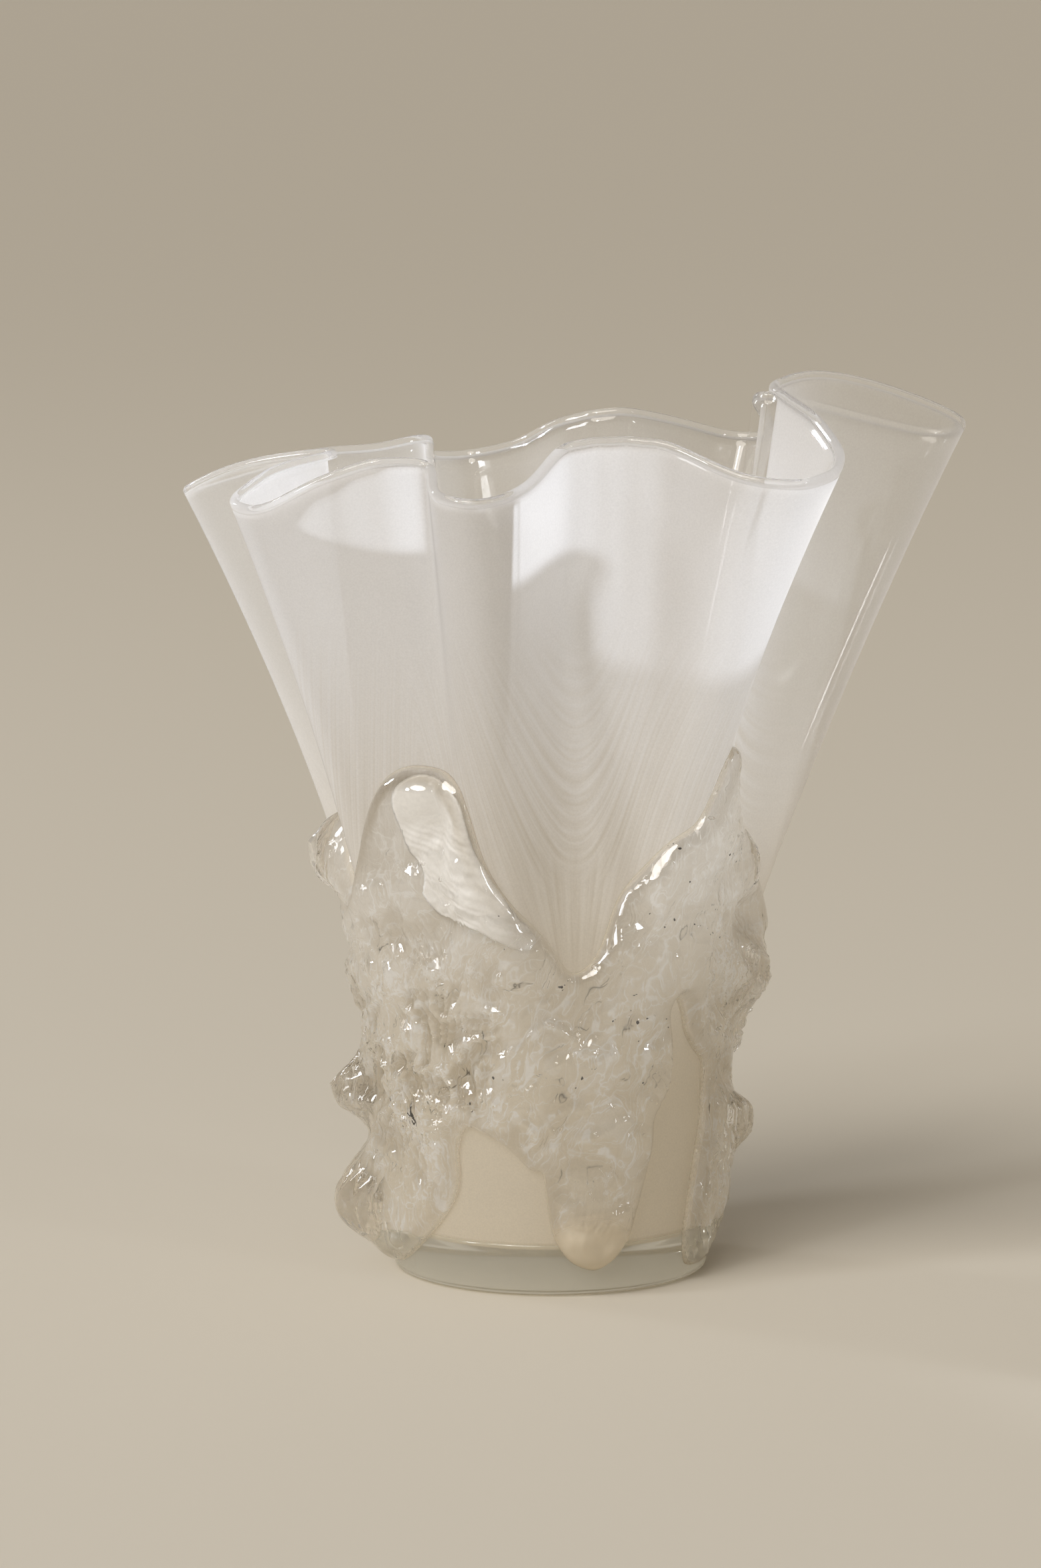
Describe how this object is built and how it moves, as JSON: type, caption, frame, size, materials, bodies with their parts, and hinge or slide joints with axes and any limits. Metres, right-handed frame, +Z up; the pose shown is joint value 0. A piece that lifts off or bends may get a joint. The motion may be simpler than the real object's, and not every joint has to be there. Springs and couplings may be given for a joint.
{
  "type": "folded glass vase",
  "caption": "Tall opal glass vase with a wavy folded rim, a thick clear foot and a ragged clear collar round its lower body.",
  "frame": {"origin": "centre of the flat underside of the clear foot", "axes": "+Z up along the foot's axis, -Y towards the viewer of the picture, +X to the viewer's right"},
  "size_m": [0.2804, 0.2131, 0.3195],
  "materials": {
    "opal_glass": "glossy milky opal, creamier towards the foot",
    "foot_glass": "clear polished",
    "collar_glass": "clear, lumpy and fire polished, with a few seeds and specks"
  },
  "bodies": {
    "root": {"opal_vessel": "opal_glass", "clear_foot": "foot_glass", "clear_collar": "collar_glass"}
  },
  "joints": []
}
